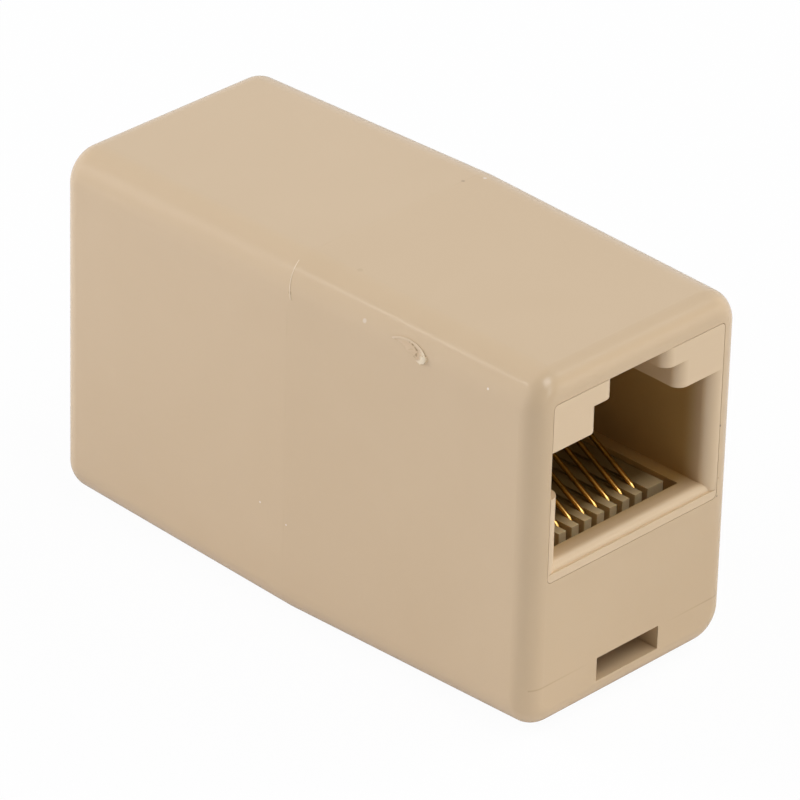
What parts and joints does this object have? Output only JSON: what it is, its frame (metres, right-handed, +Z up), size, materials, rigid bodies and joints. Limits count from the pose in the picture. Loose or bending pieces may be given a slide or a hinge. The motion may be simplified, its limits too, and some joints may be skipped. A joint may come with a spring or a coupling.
{
  "type": "rj45 inline coupler",
  "caption": "Beige inline coupler: a drafted rectangular plastic case with a modular plug socket with spring contacts in each end.",
  "frame": {"origin": "under the middle of the case, level with its lowest edge at the seam", "axes": "+Z up, with the latch notches on top; +Y along the case from the pictured end (at -Y) to the far end; +X across it"},
  "size_m": [0.017, 0.0372, 0.0229],
  "materials": {
    "case_plastic": "satin beige",
    "socket_plastic": "satin beige",
    "block_plastic": "satin ivory grey",
    "contact_gold": "gold plated",
    "board": "solder mask",
    "solder": "bright"
  },
  "bodies": {
    "root": {"housing_front": "case_plastic", "housing_rear": "case_plastic", "link_board": "board", "socket_front": "socket_plastic", "contact_block_front": "block_plastic", "contact_front_1": "contact_gold", "contact_front_2": "contact_gold", "contact_front_3": "contact_gold", "contact_front_4": "contact_gold", "contact_front_5": "contact_gold", "contact_front_6": "contact_gold", "contact_front_7": "contact_gold", "contact_front_8": "contact_gold", "solder_front": "solder", "socket_rear": "socket_plastic", "contact_block_rear": "block_plastic", "contact_rear_1": "contact_gold", "contact_rear_2": "contact_gold", "contact_rear_3": "contact_gold", "contact_rear_4": "contact_gold", "contact_rear_5": "contact_gold", "contact_rear_6": "contact_gold", "contact_rear_7": "contact_gold", "contact_rear_8": "contact_gold", "solder_rear": "solder"}
  },
  "joints": []
}
